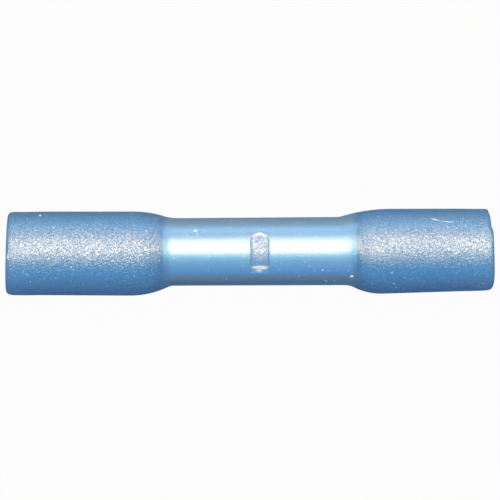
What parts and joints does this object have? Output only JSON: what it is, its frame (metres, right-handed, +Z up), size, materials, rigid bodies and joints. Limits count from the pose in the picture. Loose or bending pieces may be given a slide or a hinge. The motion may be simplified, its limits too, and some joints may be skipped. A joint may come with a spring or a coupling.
{
  "type": "butt splice connector",
  "caption": "Heat-shrink butt splice: a tinned copper crimp barrel with a punched wire stop, shrunk inside a translucent blue adhesive-lined sleeve that is wide at both ends.",
  "frame": {"origin": "on the resting plane, under the middle of the sleeve's length and width", "axes": "+X along the sleeve, from its short end to the end that the barrel lies nearer to, +Z up through the punched wire stop"},
  "size_m": [0.037, 0.0064, 0.0062],
  "materials": {
    "blue_heat_shrink": "translucent blue polyolefin, satin, faintly grained at the ends",
    "hot_melt_adhesive": "clear bluish hot-melt, fine orange-peel grain",
    "tinned_copper": "satin bright tin plate on copper"
  },
  "bodies": {
    "root": {"heat_shrink_sleeve": "blue_heat_shrink", "adhesive_lining": "hot_melt_adhesive", "crimp_barrel": "tinned_copper"}
  },
  "joints": []
}
